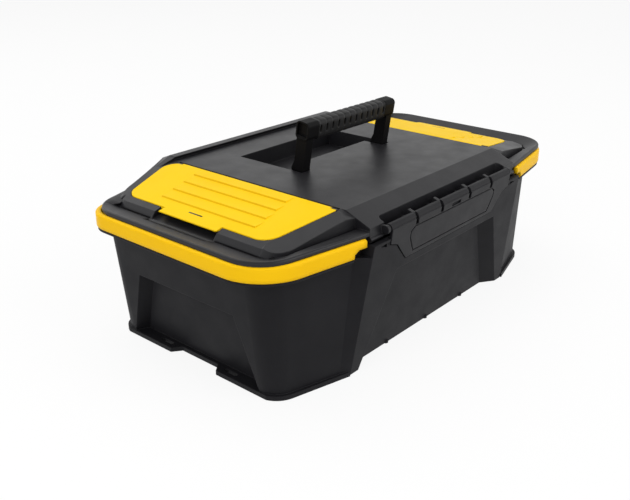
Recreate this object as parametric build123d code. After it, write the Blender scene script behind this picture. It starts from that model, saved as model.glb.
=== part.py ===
from build123d import *
import math
import os

# Toolbox with a lift-out tray: moulded tub and lid, yellow rim bands, two organizer lids,
# fold-down handle and a wide front latch. Millimetres, +Z up, front faces -Y, origin on the
# floor below the middle of the rim.

# Rim and yellow bands
BAND_END_X = 280.0
BAND_MID_X = 152.0
BAND_MID_Y = 156.0
BAND_CORNER_Y = 134.6
BAND_RADIUS = 58.0
BAND_REAR_CORNER_Y = 117.0
BAND_REAR_RADIUS = 30.0
BAND_BOTTOM = 137.3
BAND_TOP = 154.7
BAND_WALL = 5.5
BAND_STEP_Z = 146.5
BAND_STEP_X = 167.7
BAND_EDGE = 2.6
LEDGE_INSET = 1.0
LEDGE = 2.4

# Tub
WALL = 2.8
FLOOR = 3.2
RIM_TOP = 147.0
RIM_PLATE = 4.0
TUB_MID_X = 160.0
TUB_BOTTOM_PLAN = (247.0, 141.0, 117.5, 25.0, 25.0)
TUB_TOP_PLAN = (260.5, 145.0, 116.5, 32.0, 16.0)
PANEL_BOTTOM_X = 158.0
PANEL_TOP_X = 147.0
PANEL_BOTTOM_Y = 143.0
FRONT_PANEL_TOP_Y = 161.5
REAR_PANEL_TOP_Y = 150.0
PANEL_BACKING = 4.0
PANEL_BLEND = 12.0
SIDE_RECESS_TOP = 106.0
SIDE_RECESS_TOP_X = 100.0
SIDE_RECESS_BOTTOM_X = 145.0
SIDE_RECESS_DEPTH = 12.0
SIDE_RECESS_TAPER = 18.0
END_RECESS_TOP = 84.5
END_RECESS_TOP_Y = 72.0
END_RECESS_BOTTOM_Y = 98.0
END_RECESS_DEPTH = 14.0
END_RECESS_TAPER = 8.0
FLANGE_TOP = 5.0
FLANGE_END_X = 249.0
BASE_LIP = 3.5
BASE_LIP_X = 160.0
TAB_NOTCH_Y = 28.0
TAB_NOTCH_SLANT = 8.0 / 10.5
TAB_NOTCH_X = 238.5
SLOT_X = 241.0
SLOT_Y = 50.4
SLOT_LENGTH = 18.0
SLOT_WIDTH = 4.2
FOOT_PITCH = 78.0
FOOT_RADIUS = 3.2
TOOTH_DEPTH = 2.5

# Lid
LID_WALL = 2.6
LID_SEAT = 0.3
LID_BOTTOM = RIM_TOP + LID_SEAT
LID_RIM_TOP = 159.5
LID_RIM_INSET = 7.0
LID_LIP_INSET = 3.4
LID_LIP_RADIUS = 44.0
LID_LIP_REAR_RADIUS = 40.0
LID_LIP_ROUND = 2.2
LID_TOP = 175.0
LID_MID_X = 144.0
SLOPE_DEG = 9.0
GROOVE_FLOOR = 153.4
GROOVE_WIDTH = 3.6
PLATEAU_END_X = 248.0
PLATEAU_FOOT_Z = 152.0
PLATEAU_END_DRAFT = 1.15
PLATEAU_SIDE_DRAFT = 0.06
PLATEAU_FRONT_Y = (135.0, 121.0)
PLATEAU_REAR_Y = (157.5, 121.0)
PLATEAU_RADIUS = 28.0
BEVEL_END_DEG = 18.4
BEVEL_FRONT = (125.0, 5.5)
BEVEL_REAR = (142.0, 0.6)
BEVEL_X = 190.0
BLOCK_Y = 153.0
BLOCK_FRONT_Z = 163.0
BLOCK_FRONT_TOP_Y = 122.7
REAR_RIM_Y = 136.8
REAR_RIM_TOP = 180.0
REAR_RIM_WIDTH = 5.0
BLOCK_REAR_Z = 166.0

# Organizers
ORG_AXIS_X = 147.4
ORG_PLATE = 3.0
ORG_PROUD = 0.6
ORG_BARREL_R = 3.0
ORG_INNER_X = 148.2
ORG_OUTER_X = 232.0
ORG_FRONT_Y = (115.0, 98.0)
ORG_REAR_Y = (137.0, 112.0)
ORG_RADIUS = 20.0
ORG_REAR_RADIUS = 16.0
ORG_LUG = 8.0
ORG_REAR_LUG_Y = 116.0
ORG_LUG_R = 2.8
ORG_GAP = 0.8
ORG_TAB_Y = 7.5
ORG_TAB_HALF = 45.5
ORG_TAB_X = 241.0
ORG_RIBS = 4
ORG_RIB_X = 160.5
ORG_RIB_PITCH = 18.2
ORG_RIB_RUN = 12.0
ORG_RIB_Y = (-59.0, 80.5)
ORG_RIB_SHIFT = -3.2
ORG_RIB_HEIGHT = 0.7
ORG_RIB_FALL = 2.5
ORG_MARK_X = 227.0
ORG_MARK_LENGTH = 20.0
BIN_FLOOR = 139.0
BIN_MARGIN = 7.0
BIN_SKIN = 2.2
BIN_DIVIDER_Y = 5.1
DIVIDER = 2.0
DIVIDER_GAP = 0.15
RAIL = 1.5

# Handle and its pocket
HANDLE_AXIS_Y = -1.0
HANDLE_AXIS_Z = 165.5
HANDLE_LEAN_DEG = 8.5
HANDLE_HALF_X = 80.8
LEG_X = 12.0
LEG_Y = 15.0
GRIP_LOW = 47.0
GRIP_HIGH = 68.0
GRIP_DEPTH = 18.0
GRIP_ROUND = 5.0
GRIP_CHAMFER = 2.6
CORE_INSET = 3.0
END_CUP = 1.8
END_CUP_DEPTH = 4.0
LEG_SET_IN = 1.0
LEG_FLARE = 3.0
SLEEVE_HALF_X = 62.0
GRIP_RIBS = 14
GRIP_RIB_HEIGHT = 0.9
POCKET_HALF_X = 83.0
POCKET_FRONT_Y = 16.5
POCKET_REAR_Y = 87.0
POCKET_FLOOR = 154.5
LEG_SLOT_FRONT_Y = -11.0
HANDLE_PIN_R = 2.5

# Latch
LATCH_AXIS_Y = -157.5
LATCH_AXIS_Z = 157.0
LATCH_BARREL_R = 5.0
LATCH_PROUD = 0.6
LATCH_PLATE = 3.0
LATCH_HALF_X = 119.5
LATCH_SHOULDER_Z = 137.0
LATCH_SHOULDER_X = 107.0
LATCH_BOTTOM_X = 88.0
LATCH_BOTTOM_Z = 115.5
LABEL_OUTLINE = ((79.0, 149.5), (85.5, 145.0), (85.5, 136.0), (77.0, 119.5))
LABEL_GROOVE = 1.5
LABEL_DEPTH = 1.1
RIB_X = (28.4, 75.6)
RIB_WIDTH = 4.2
NOTCH_HALF_X = 121.0
NOTCH_BACK_Y = 143.5
LATCH_GAP = 0.9
NOTCH_ROUND = 6.0
BAR_R = 2.3
BAR_Z = 151.0
LATCH_PIN_R = 2.0

# Lid hinge
HINGE_Y = 156.0
HINGE_Z = 151.0
HINGE_BARREL_R = 5.0
HINGE_X = 88.0
HINGE_LID_HALF = 14.0
HINGE_TUB_LENGTH = 14.0
HINGE_SIDE_GAP = 0.5
HINGE_PIN_R = 2.0

# Tray
TRAY_HALF_X = 229.0
TRAY_HALF_Y = 100.0
TRAY_BOTTOM = 56.0
TRAY_TOP = 100.0
TRAY_WALL = 2.2
TRAY_DRAFT = 6.0
TRAY_LEDGE = END_RECESS_TOP + WALL + 0.3
TRAY_EAR_X = 246.0
TRAY_EAR_Y = 60.0
TRAY_HANDLE_TOP = 134.0
TRAY_HANDLE_HALF = 54.0
TRAY_DIVIDER_X = 76.0

# Fits
RUNNING = 0.08
FIXED = 0.02

os.makedirs("parts", exist_ok=True)


def box(x0, x1, y0, y1, z0, z1):
    """Box between two corners."""
    return Pos((x0 + x1) / 2, (y0 + y1) / 2, (z0 + z1) / 2) * Box(x1 - x0, y1 - y0, z1 - z0)


def rod_x(x0, x1, y, z, radius):
    """Cylinder along X."""
    return Pos((x0 + x1) / 2, y, z) * Rot(0, 90, 0) * Cylinder(radius, x1 - x0)


def rod_y(y0, y1, x, z, radius):
    """Cylinder along Y."""
    return Pos(x, (y0 + y1) / 2, z) * Rot(90, 0, 0) * Cylinder(radius, y1 - y0)


def both_ends(shape):
    """The shape and its mirror image at the other end of the box."""
    return shape + shape.mirror(Plane.YZ)


def ruled(low, high):
    """Solid with straight sides between two closed outlines of points."""
    return Solid.make_loft([Wire.make_polygon(low), Wire.make_polygon(high)], ruled=True)


def side_prism(points, x0, x1):
    """Prism along X from a profile given as (Y, Z) points."""
    face = make_face(Polyline(*[(0, y, z) for y, z in points], close=True))
    return extrude(face, amount=x1 - x0, dir=(1, 0, 0)).moved(Location((x0, 0, 0)))


def end_prism(points, y0, y1):
    """Prism along Y from a profile given as (X, Z) points."""
    face = make_face(Polyline(*[(x, 0, z) for x, z in points], close=True))
    return extrude(face, amount=y1 - y0, dir=(0, 1, 0)).moved(Location((0, y0, 0)))


def plan(end_x, mid_x, front, rear, radius, rear_radius):
    """Plan outline with flared ends: front and rear give |Y| at mid_x and at end_x."""
    corners = [
        (mid_x, -front[0]),
        (end_x, -front[1]),
        (end_x, rear[1]),
        (mid_x, rear[0]),
    ]
    mirrored = [(-x, y) for x, y in reversed(corners)]
    face = make_face(Polyline(*corners, *mirrored, close=True))
    for sign, size in ((-1, radius), (1, rear_radius)):
        ends = [v for v in face.vertices() if abs(abs(v.X) - end_x) < 0.01 and v.Y * sign > 60]
        face = fillet(ends, size)
    return face


def column(face, low, high):
    """Upright prism of a plan outline."""
    return Pos(0, 0, low) * extrude(face, amount=high - low)


def band_plan(inset):
    """Rim outline, drawn in from the outer face of the bands."""
    front = (BAND_MID_Y - inset, BAND_CORNER_Y - inset)
    rear = (BAND_MID_Y - inset, BAND_REAR_CORNER_Y - inset)
    radii = (BAND_RADIUS - inset, BAND_REAR_RADIUS - inset)
    return plan(BAND_END_X - inset, BAND_MID_X, front, rear, *radii)


def lip_plan(inset):
    """Outline of the lid's lip over the bands, with corners of its own."""
    depth = LID_LIP_INSET + inset
    front = (BAND_MID_Y - depth, BAND_CORNER_Y - depth)
    rear = (BAND_MID_Y - depth, BAND_REAR_CORNER_Y - depth)
    radii = (LID_LIP_RADIUS - inset, LID_LIP_REAR_RADIUS - inset)
    return plan(BAND_END_X - depth, BAND_MID_X, front, rear, *radii)


def lid_wall_plan(inset):
    """Outline of the lid's wall, inside both the bands and the lip."""
    depth = LID_RIM_INSET + inset
    return band_plan(depth) & lip_plan(depth - LID_LIP_INSET)


def tub_sizes(z):
    """End X, middle Y, end Y and the front and rear corner radii of the tub wall at height z."""
    share = z / RIM_TOP
    return [low + (high - low) * share for low, high in zip(TUB_BOTTOM_PLAN, TUB_TOP_PLAN)]


def tub_plan(z, inset):
    """Tub wall outline at height z."""
    end_x, mid_y, end_y, radius, rear_radius = tub_sizes(z)
    side = (mid_y - inset, end_y - inset)
    return plan(end_x - inset, TUB_MID_X, side, side, radius - inset, rear_radius - inset)


def tub_walls(low, high, inset):
    """Drafted body of the tub between two heights."""
    sections = [Pos(0, 0, z) * tub_plan(z, inset) for z in (low, high)]
    return loft(sections, ruled=True)


def long_panel(sign, low, high, top_y, inset):
    """Thick middle panel of a long wall, leaning out towards the rim."""
    outlines = []
    for z in (low, high):
        share = z / RIM_TOP
        half = PANEL_BOTTOM_X + (PANEL_TOP_X - PANEL_BOTTOM_X) * share - inset
        y = PANEL_BOTTOM_Y + (top_y - PANEL_BOTTOM_Y) * share - inset
        corners = [(-half, y), (half, y), (half, 100.0), (-half, 100.0)]
        outlines.append([(x, sign * depth, z) for x, depth in corners])
    return ruled(*outlines)


def panel_blend(sign, low, high, top_y, inset):
    """Slanted wall from the right edge of a long panel back to the wall beside it."""
    outlines = []
    for z in (low, high):
        share = z / RIM_TOP
        half = PANEL_BOTTOM_X + (PANEL_TOP_X - PANEL_BOTTOM_X) * share
        y = PANEL_BOTTOM_Y + (top_y - PANEL_BOTTOM_Y) * share - inset
        end_x, mid_y, end_y = tub_sizes(z)[:3]
        far = half + PANEL_BLEND
        along = max(0.0, far - TUB_MID_X) / (end_x - TUB_MID_X)
        far_y = mid_y + (end_y - mid_y) * along - inset
        corners = [(half - 4, y), (half, y), (far, far_y), (far, 110.0), (half - 4, 110.0)]
        outlines.append([(x, sign * depth, z) for x, depth in corners])
    return ruled(*outlines)


def side_recess(sign, top_y, grow):
    """Tapered recess in a long wall, open at the floor; grow thickens it for the inside."""
    low = -1.0
    high = SIDE_RECESS_TOP + grow
    lean = (top_y - PANEL_BOTTOM_Y) / RIM_TOP
    widths = (SIDE_RECESS_BOTTOM_X + grow, SIDE_RECESS_TOP_X + grow)
    inner, outer = [], []
    for half, z in zip(widths, (low, high)):
        face_y = PANEL_BOTTOM_Y + lean * z
        narrow = half - SIDE_RECESS_TAPER
        back_y = face_y - SIDE_RECESS_DEPTH - grow
        wide = half + SIDE_RECESS_TAPER * 0.5
        front_y = face_y + SIDE_RECESS_DEPTH * 0.5
        ends = [(-1, narrow, back_y), (1, narrow, back_y)]
        inner += [(s * x, sign * y, z) for s, x, y in (ends if z == low else ends[::-1])]
        ends = [(-1, wide, front_y), (1, wide, front_y)]
        outer += [(s * x, sign * y, z) for s, x, y in (ends if z == low else ends[::-1])]
    return ruled(inner, outer)


def end_recess(sign, grow):
    """Trapezoid recess in an end wall, above the slotted flange."""
    low = FLANGE_TOP - grow
    high = END_RECESS_TOP + grow
    widths = (END_RECESS_BOTTOM_Y + grow, END_RECESS_TOP_Y + grow)
    lean = (TUB_TOP_PLAN[0] - TUB_BOTTOM_PLAN[0]) / RIM_TOP
    inner, outer = [], []
    for half, z in zip(widths, (low, high)):
        face_x = TUB_BOTTOM_PLAN[0] + lean * z
        back_x = face_x - END_RECESS_DEPTH - grow
        front_x = face_x + END_RECESS_DEPTH
        narrow = half - END_RECESS_TAPER
        wide = half + END_RECESS_TAPER
        order = (-1, 1) if z == low else (1, -1)
        inner += [(sign * back_x, s * narrow, z) for s in order]
        outer += [(sign * front_x, s * wide, z) for s in order]
    return ruled(inner, outer)


def tub_form(low, high, inset, front_top_y, grow):
    """Outer form of the tub, or its cavity when inset and grow are given."""
    form = tub_walls(low, high, inset)
    form += long_panel(-1, low, high, front_top_y, inset)
    form += long_panel(1, low, high, REAR_PANEL_TOP_Y, inset)
    under = BAND_BOTTOM - LEDGE - inset
    form += both_ends(panel_blend(-1, low, under, front_top_y, inset))
    form += both_ends(panel_blend(1, low, under, REAR_PANEL_TOP_Y, inset))
    for sign in (-1, 1):
        form -= end_recess(sign, grow)
    form -= side_recess(-1, FRONT_PANEL_TOP_Y, grow)
    form -= side_recess(1, REAR_PANEL_TOP_Y, grow)
    return form


def end_flange():
    """Base flange under one end wall, with a lip that runs round both corners."""
    flange = extrude(tub_plan(0, -BASE_LIP), amount=FLANGE_TOP)
    flange &= box(BASE_LIP_X, FLANGE_END_X, -150, 150, 0, FLANGE_TOP)
    return flange


def flange_cuts():
    """Gap between the two tabs of an end flange and the slot through each tab."""
    far = 260.0
    wide = TAB_NOTCH_Y + (far - TAB_NOTCH_X) * TAB_NOTCH_SLANT
    corners = [(TAB_NOTCH_X, -TAB_NOTCH_Y), (far, -wide), (far, wide), (TAB_NOTCH_X, TAB_NOTCH_Y)]
    cuts = column(make_face(Polyline(*corners, close=True)), -1, FLANGE_TOP + 1)
    for y in (-SLOT_Y, SLOT_Y):
        slot = Pos(SLOT_X, y, -1) * SlotOverall(SLOT_LENGTH, SLOT_WIDTH, rotation=90)
        cuts += extrude(slot, amount=FLANGE_TOP + 2)
    return cuts


def hinge_room(x0, x1):
    """Space swept by a hinge barrel of the other half."""
    return rod_x(x0, x1, HINGE_Y, HINGE_Z, HINGE_BARREL_R + 0.6)


def hinge_spans():
    """X spans of the lid barrel and the two tub barrels of each hinge."""
    spans = []
    for centre in (-HINGE_X, HINGE_X):
        inner = HINGE_LID_HALF
        near = inner + HINGE_SIDE_GAP
        far = near + HINGE_TUB_LENGTH
        lid_span = (centre - inner, centre + inner)
        tub_spans = [(centre - far, centre - near), (centre + near, centre + far)]
        spans.append((lid_span, tub_spans))
    return spans


def latch_outline(grow):
    """Latch plate outline as (X, Z) points, wider at the top."""
    half = [
        (LATCH_HALF_X + grow, LATCH_AXIS_Z),
        (LATCH_HALF_X + grow, LATCH_SHOULDER_Z + 4 - grow),
        (LATCH_SHOULDER_X + grow, LATCH_SHOULDER_Z - grow),
        (LATCH_BOTTOM_X + grow * 0.6, LATCH_BOTTOM_Z - grow),
    ]
    return half + [(-x, z) for x, z in reversed(half)]


def latch_slab(front, back, low, high):
    """Slab parallel to the leaning front panel, between two depths behind the latch's face."""
    lean = (FRONT_PANEL_TOP_Y - PANEL_BOTTOM_Y) / RIM_TOP
    faces = [-(PANEL_BOTTOM_Y + lean * z + LATCH_PROUD) for z in (low, high)]
    profile = [
        (faces[0] + front, low),
        (faces[1] + front, high),
        (faces[1] + back, high),
        (faces[0] + back, low),
    ]
    return side_prism(profile, -150, 150)


def latch_teeth():
    """Two small catches sunk in the front panel beside the right end of the latch."""
    large = end_prism([(126.0, 144.2), (137.0, 143.2), (125.5, 139.8)], -180, -140)
    small = end_prism([(124.0, 144.0), (122.0, 144.0), (122.4, 138.6)], -180, -140)
    return (large + small) & latch_slab(-20, LATCH_PROUD + TOOTH_DEPTH, 100, 160)


def rim_ledge():
    """Black ledge that shows below each band."""
    ledge = column(band_plan(LEDGE_INSET), BAND_BOTTOM - LEDGE, BAND_BOTTOM - 0.1)
    return ledge - box(-BAND_STEP_X, BAND_STEP_X, -200, 200, 100, 200)


def make_tub():
    """Tub with drafted walls, rim plate, latch pocket, end flanges and hinge barrels."""
    tub = tub_form(0, RIM_TOP, 0, FRONT_PANEL_TOP_Y, 0)
    rim = Pos(0, 0, RIM_TOP - RIM_PLATE) * extrude(band_plan(BAND_WALL), amount=RIM_PLATE)
    tub += rim
    tub += rim_ledge()
    tub += both_ends(end_flange())
    tub -= tub_form(FLOOR, RIM_TOP + 2, WALL, FRONT_PANEL_TOP_Y - PANEL_BACKING, WALL)
    tub -= end_prism(latch_outline(LATCH_GAP), -200, -120) & latch_slab(-20, LATCH_PLATE + 0.4, 100, 170)
    tub -= both_ends(latch_teeth())
    tub -= both_ends(flange_cuts())
    foot_y = PANEL_BOTTOM_Y - SIDE_RECESS_DEPTH - 1.0
    for x in (-FOOT_PITCH, 0, FOOT_PITCH):
        for sign in (-1, 1):
            tub += Pos(x, sign * foot_y, FLOOR / 2) * Cylinder(FOOT_RADIUS, FLOOR)
    for lid_span, tub_spans in hinge_spans():
        tub -= hinge_room(lid_span[0] - HINGE_SIDE_GAP, lid_span[1] + HINGE_SIDE_GAP)
        for x0, x1 in tub_spans:
            web = [
                (HINGE_Y - 9, RIM_TOP),
                (HINGE_Y - HINGE_BARREL_R, RIM_TOP),
                (HINGE_Y - HINGE_BARREL_R, HINGE_Z),
                (HINGE_Y + HINGE_BARREL_R, HINGE_Z),
                (HINGE_Y + HINGE_BARREL_R, HINGE_Z - 5),
                (HINGE_Y - 9, RIM_TOP - 14),
            ]
            tub += side_prism(web, x0, x1) + rod_x(x0, x1, HINGE_Y, HINGE_Z, HINGE_BARREL_R)
            tub -= rod_x(x0 - 1, x1 + 1, HINGE_Y, HINGE_Z, HINGE_PIN_R + FIXED)
    return tub


def make_band(sign):
    """Yellow band clipped over the rim at one end, with stepped tips near the latch."""
    height = BAND_TOP - BAND_BOTTOM
    band = extrude(band_plan(0), amount=height)
    outer_edges = band.edges().group_by(Axis.Z)
    band = fillet(list(outer_edges[0]) + list(outer_edges[-1]), BAND_EDGE)
    band = Pos(0, 0, BAND_BOTTOM) * band
    band -= Pos(0, 0, BAND_BOTTOM - 1) * extrude(band_plan(BAND_WALL), amount=height + 2)
    tip = [
        (-BAND_STEP_X, BAND_BOTTOM - 1),
        (-BAND_STEP_X, BAND_STEP_Z - 4),
        (-BAND_STEP_X + 6, BAND_STEP_Z),
        (-BAND_MID_X, BAND_STEP_Z),
        (-BAND_MID_X, BAND_TOP + 1),
    ]
    profile = tip + [(-x, z) for x, z in reversed(tip)]
    band -= end_prism(profile, -BAND_MID_Y - 5, BAND_MID_Y + 5)
    half = box(0, sign * 300, -200, 200, 100, 200) if sign > 0 else box(-300, 0, -200, 200, 100, 200)
    return band & half


def slope_z(x):
    """Height of the sloping end surface of the lid at |X|."""
    return LID_TOP - (abs(x) - LID_MID_X) * math.tan(math.radians(SLOPE_DEG))


def above_slope(offset):
    """Everything above the lid's end slopes, raised by offset."""
    far = 320.0
    profile = [
        (-LID_MID_X, LID_TOP + offset),
        (LID_MID_X, LID_TOP + offset),
        (far, slope_z(far) + offset),
        (far, 260.0),
        (-far, 260.0),
        (-far, slope_z(far) + offset),
    ]
    return end_prism(profile, -250, 250)


def plateau_plan(z, inset):
    """Outline of the raised top of the lid at height z."""
    rise = z - PLATEAU_FOOT_Z
    side = inset + rise * PLATEAU_SIDE_DRAFT
    end_x = PLATEAU_END_X - inset - rise * PLATEAU_END_DRAFT
    front = [y - side for y in PLATEAU_FRONT_Y]
    rear = [y - side for y in PLATEAU_REAR_Y]
    return plan(end_x, LID_MID_X, front, rear, PLATEAU_RADIUS - inset, PLATEAU_RADIUS - inset)


def above_plane(first, second, third):
    """Everything above the plane through three points."""
    along = Vector(second) - Vector(first)
    normal = along.cross(Vector(third) - Vector(first))
    if normal.Z < 0:
        normal = normal * -1
    return Plane(origin=first, x_dir=along, z_dir=normal).location * Pos(0, 0, 60) * Box(900, 900, 120)


def frame_bevels(offset):
    """Cutters for the bevelled frame round the right organizer lid."""
    start = ORG_OUTER_X + ORG_GAP
    start_z = slope_z(start) + offset
    far = 320.0
    far_z = start_z - (far - start) * math.tan(math.radians(BEVEL_END_DEG))
    cutters = [end_prism([(start, start_z), (far, far_z), (far, 260), (start, 260)], -250, 250)]
    for sign, near, edge in ((-1, ORG_FRONT_Y, BEVEL_FRONT), (1, ORG_REAR_Y, BEVEL_REAR)):
        line = [
            (x, sign * (y + ORG_GAP), slope_z(x) + offset)
            for x, y in zip((ORG_INNER_X, ORG_OUTER_X), near)
        ]
        low = (BEVEL_X, sign * edge[0], slope_z(BEVEL_X) + offset - edge[1])
        cutters.append(above_plane(*line, low))
    return cutters


def lid_rim(low, inset):
    """Rim of the lid: a wall inside the bands, a lip over them and a groove round the raised top."""
    if inset:
        return column(lid_wall_plan(inset), low, GROOVE_FLOOR - inset)
    lip_low = BAND_TOP + 0.3
    lip = extrude(lip_plan(0), amount=LID_RIM_TOP - lip_low)
    lip = fillet(list(lip.edges().group_by(Axis.Z)[-1]), LID_LIP_ROUND)
    rim = column(lid_wall_plan(0), low, lip_low + 1) + Pos(0, 0, lip_low) * lip
    return rim - column(plateau_plan(GROOVE_FLOOR, -GROOVE_WIDTH), GROOVE_FLOOR, LID_TOP)


def lid_form(low, inset):
    """Outer form of the lid, or its hollow when inset is given."""
    sections = [Pos(0, 0, z) * plateau_plan(z, inset) for z in (low, LID_TOP + 2)]
    top = loft(sections, ruled=True) - above_slope(-inset)
    for cutter in frame_bevels(-inset):
        top -= cutter
        top -= cutter.mirror(Plane.YZ)
    top -= box(-LID_MID_X, LID_MID_X, -200, 200, low - 1, LID_TOP + 20)
    inside_bands = column(lid_wall_plan(inset), low, LID_TOP)
    over_bands = box(-300, 300, -200, 200, BAND_TOP + 0.7 + inset, LID_TOP + 20)
    top &= inside_bands + over_bands
    side = BLOCK_Y - inset
    ceiling = LID_TOP - inset
    profile = [
        (-side, low),
        (-side, BLOCK_FRONT_Z - inset * 0.6),
        (-BLOCK_FRONT_TOP_Y + inset * 0.2, ceiling),
        (REAR_RIM_Y + REAR_RIM_WIDTH, ceiling),
        (side, BLOCK_REAR_Z - inset * 0.6),
        (side, low),
    ]
    if inset == 0:
        profile[3:4] = [
            (REAR_RIM_Y, LID_TOP),
            (REAR_RIM_Y, REAR_RIM_TOP),
            (REAR_RIM_Y + REAR_RIM_WIDTH, REAR_RIM_TOP),
        ]
    block = side_prism(profile, -LID_MID_X + inset, LID_MID_X - inset)
    return lid_rim(low, inset) + top + block


def organizer_plan(grow):
    """Plan outline of the right organizer lid, without its tab."""
    corners = [
        (ORG_INNER_X - grow, -ORG_FRONT_Y[0] - grow),
        (ORG_OUTER_X + grow, -ORG_FRONT_Y[1] - grow),
        (ORG_OUTER_X + grow, ORG_REAR_Y[1] + grow),
        (ORG_INNER_X - grow, ORG_REAR_Y[0] + grow),
    ]
    face = make_face(Polyline(*corners, close=True))
    inner = [v for v in face.vertices() if v.X < ORG_INNER_X - grow + 1 and v.Y > 0]
    face = fillet(inner, ORG_REAR_RADIUS + grow)
    ends = [v for v in face.vertices() if v.X > ORG_OUTER_X + grow - 1]
    return fillet(ends, ORG_RADIUS + grow)


def organizer_axis_z():
    """Height of the organizer hinge axis, so that the barrel meets the lid's top skin."""
    return slope_z(ORG_AXIS_X) + ORG_PROUD - ORG_BARREL_R


def organizer_lugs():
    """Y spans of the two lugs that hold the organizer pins."""
    front = -ORG_FRONT_Y[0]
    rear = ORG_REAR_LUG_Y
    return [(front, front + ORG_LUG), (rear, rear + ORG_LUG)]


def organizer_body():
    """Bin under one organizer lid with a seat round its mouth, before the hollow is cut."""
    body = column(organizer_plan(BIN_SKIN - BIN_MARGIN), BIN_FLOOR - BIN_SKIN, 190)
    seat_low = ORG_PROUD - ORG_PLATE - 0.4 - BIN_SKIN
    return body + (column(organizer_plan(4.0), BIN_FLOOR, 190) & above_slope(seat_low))


def organizer_cuts():
    """Hollow of the bin, seat of the lid, room for the tab and the hinge barrel."""
    seat_low = ORG_PROUD - ORG_PLATE - 0.4
    seat = column(organizer_plan(ORG_GAP), BIN_FLOOR, 190) & above_slope(seat_low)
    well = column(organizer_plan(-BIN_MARGIN), BIN_FLOOR, 190)
    half = ORG_TAB_HALF + 1.2
    tab = box(ORG_OUTER_X - 2, 258, ORG_TAB_Y - half, ORG_TAB_Y + half, GROOVE_FLOOR, 190)
    axis_z = organizer_axis_z()
    lugs = organizer_lugs()
    trough_y = (lugs[0][1] - 0.5, lugs[1][0] + 0.5)
    trough = rod_y(*trough_y, ORG_AXIS_X, axis_z, ORG_BARREL_R + 0.5)
    reach = ORG_BARREL_R + 0.5
    swing_y = (lugs[0][0] - ORG_GAP, lugs[1][1] + 1)
    trough += box(ORG_AXIS_X - reach, ORG_AXIS_X + reach, *swing_y, axis_z, 190)
    return seat, well, tab, trough


def rails(centre):
    """Spans of the two rails that guide a divider standing at the centre."""
    near = DIVIDER / 2 + DIVIDER_GAP
    return [(centre - near - RAIL, centre - near), (centre + near, centre + near + RAIL)]


def bin_rails():
    """Upright rails for the divider at both sides of the right bin."""
    inner = ORG_INNER_X + BIN_MARGIN - 0.5
    outer = ORG_OUTER_X - BIN_MARGIN + 0.5
    posts = []
    for y0, y1 in rails(BIN_DIVIDER_Y):
        posts.append(box(inner, inner + 3, y0, y1, BIN_FLOOR - 0.5, slope_z(ORG_INNER_X) - 9))
        posts.append(box(outer - 3, outer, y0, y1, BIN_FLOOR - 0.5, slope_z(ORG_OUTER_X) - 9))
    return Part() + posts


def make_bin_divider():
    """Loose divider that drops between the rails of the right bin."""
    gap = BIN_MARGIN + DIVIDER_GAP
    half = DIVIDER / 2
    y0, y1 = BIN_DIVIDER_Y - half, BIN_DIVIDER_Y + half
    divider = box(ORG_INNER_X + gap, ORG_OUTER_X - gap, y0, y1, BIN_FLOOR + 0.1, 190)
    return divider - above_slope(ORG_PROUD - ORG_PLATE - 1.5)


def make_organizer_lid():
    """Right organizer lid: ribbed plate with a barrel along its hinge and a snap tab."""
    axis_z = organizer_axis_z()
    lugs = organizer_lugs()
    outline = organizer_plan(0)
    blank = column(outline, 120, 200)
    half = ORG_TAB_HALF
    blank += box(ORG_OUTER_X - 20, ORG_TAB_X, ORG_TAB_Y - half, ORG_TAB_Y + half, 120, 200)
    slab = above_slope(ORG_PROUD - ORG_PLATE) - above_slope(ORG_PROUD)
    plate = blank & slab
    for y0, y1 in lugs:
        plate -= rod_y(y0 - 0.5, y1 + 0.5, ORG_AXIS_X, axis_z, ORG_LUG_R + 0.4)
    plate += rod_y(lugs[0][1] + 0.5, lugs[1][0] - 0.5, ORG_AXIS_X, axis_z, ORG_BARREL_R)
    for index in range(ORG_RIBS):
        x = ORG_RIB_X + index * ORG_RIB_PITCH
        shift = index * ORG_RIB_SHIFT
        low = ORG_PROUD - 0.5
        foot = x + ORG_RIB_FALL
        step = [
            (foot, slope_z(foot) + low),
            (foot, slope_z(foot) + ORG_PROUD),
            (x, slope_z(x) + ORG_PROUD + ORG_RIB_HEIGHT),
            (x - ORG_RIB_RUN, slope_z(x - ORG_RIB_RUN) + ORG_PROUD),
            (x - ORG_RIB_RUN, slope_z(x - ORG_RIB_RUN) + low),
        ]
        plate += end_prism(step, ORG_RIB_Y[0] + shift, ORG_RIB_Y[1] + shift)
    mark = box(ORG_MARK_X - 0.7, ORG_MARK_X + 0.7, -ORG_MARK_LENGTH / 2, ORG_MARK_LENGTH / 2, 120, 200)
    plate -= Pos(0, ORG_TAB_Y - 1, 0) * mark & above_slope(ORG_PROUD - 0.9)
    for y0, y1 in lugs:
        plate -= rod_y(y0 - 10, y1 + 10, ORG_AXIS_X, axis_z, 1.3 + RUNNING)
    return plate


def make_organizer_pins():
    """The two steel pins of the right organizer lid."""
    axis_z = organizer_axis_z()
    front, rear = organizer_lugs()
    pins = [
        rod_y(front[0] + 0.5, front[1] + 9, ORG_AXIS_X, axis_z, 1.3),
        rod_y(rear[0] - 9, rear[1] - 0.5, ORG_AXIS_X, axis_z, 1.3),
    ]
    return pins[0] + pins[1]


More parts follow.
